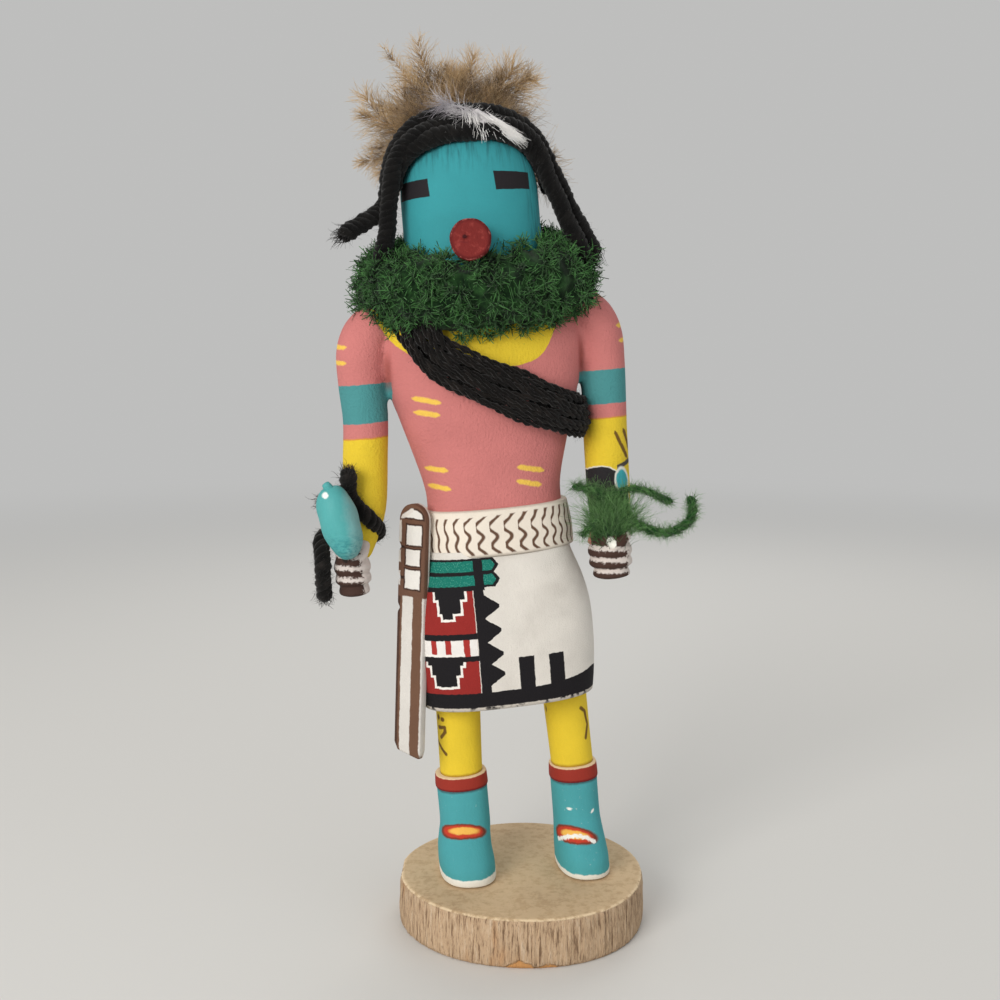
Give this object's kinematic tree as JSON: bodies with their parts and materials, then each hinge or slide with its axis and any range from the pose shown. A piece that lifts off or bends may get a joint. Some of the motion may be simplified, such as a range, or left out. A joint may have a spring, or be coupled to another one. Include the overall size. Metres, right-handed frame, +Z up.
{
  "type": "kachina doll",
  "caption": "Carved and painted standing figure with a domed turquoise mask, green wool ruff, black yarn hair, feather crest, rattle and kilt, on a round slab of pale wood.",
  "frame": {"origin": "centre of the slab's underside, on the surface that the doll stands on", "axes": "+Z up, the slab's broad view and the mask face -Y, and +X is to the right of someone facing the doll"},
  "size_m": [0.1015, 0.068, 0.2361],
  "materials": {
    "bare_wood": "sanded, matt",
    "painted_wood": "matt poster paint",
    "white_wood": "matt paint",
    "red_wood": "matt paint",
    "turquoise_wood": "satin paint",
    "green_wool": "fluffy wool",
    "black_wool": "twisted wool yarn",
    "brown_feather": "downy",
    "white_feather": "smooth barbs"
  },
  "bodies": {
    "root": {"base": "bare_wood", "carved_figure": "painted_wood", "sash": "white_wood", "snout": "red_wood", "ruff": "green_wool", "hair_yarn": "black_wool", "bandolier": "black_wool", "feather_crest": "brown_feather", "white_feather": "white_feather", "rattle": "turquoise_wood", "wrist_cord": "black_wool", "sprig": "green_wool"}
  },
  "joints": []
}
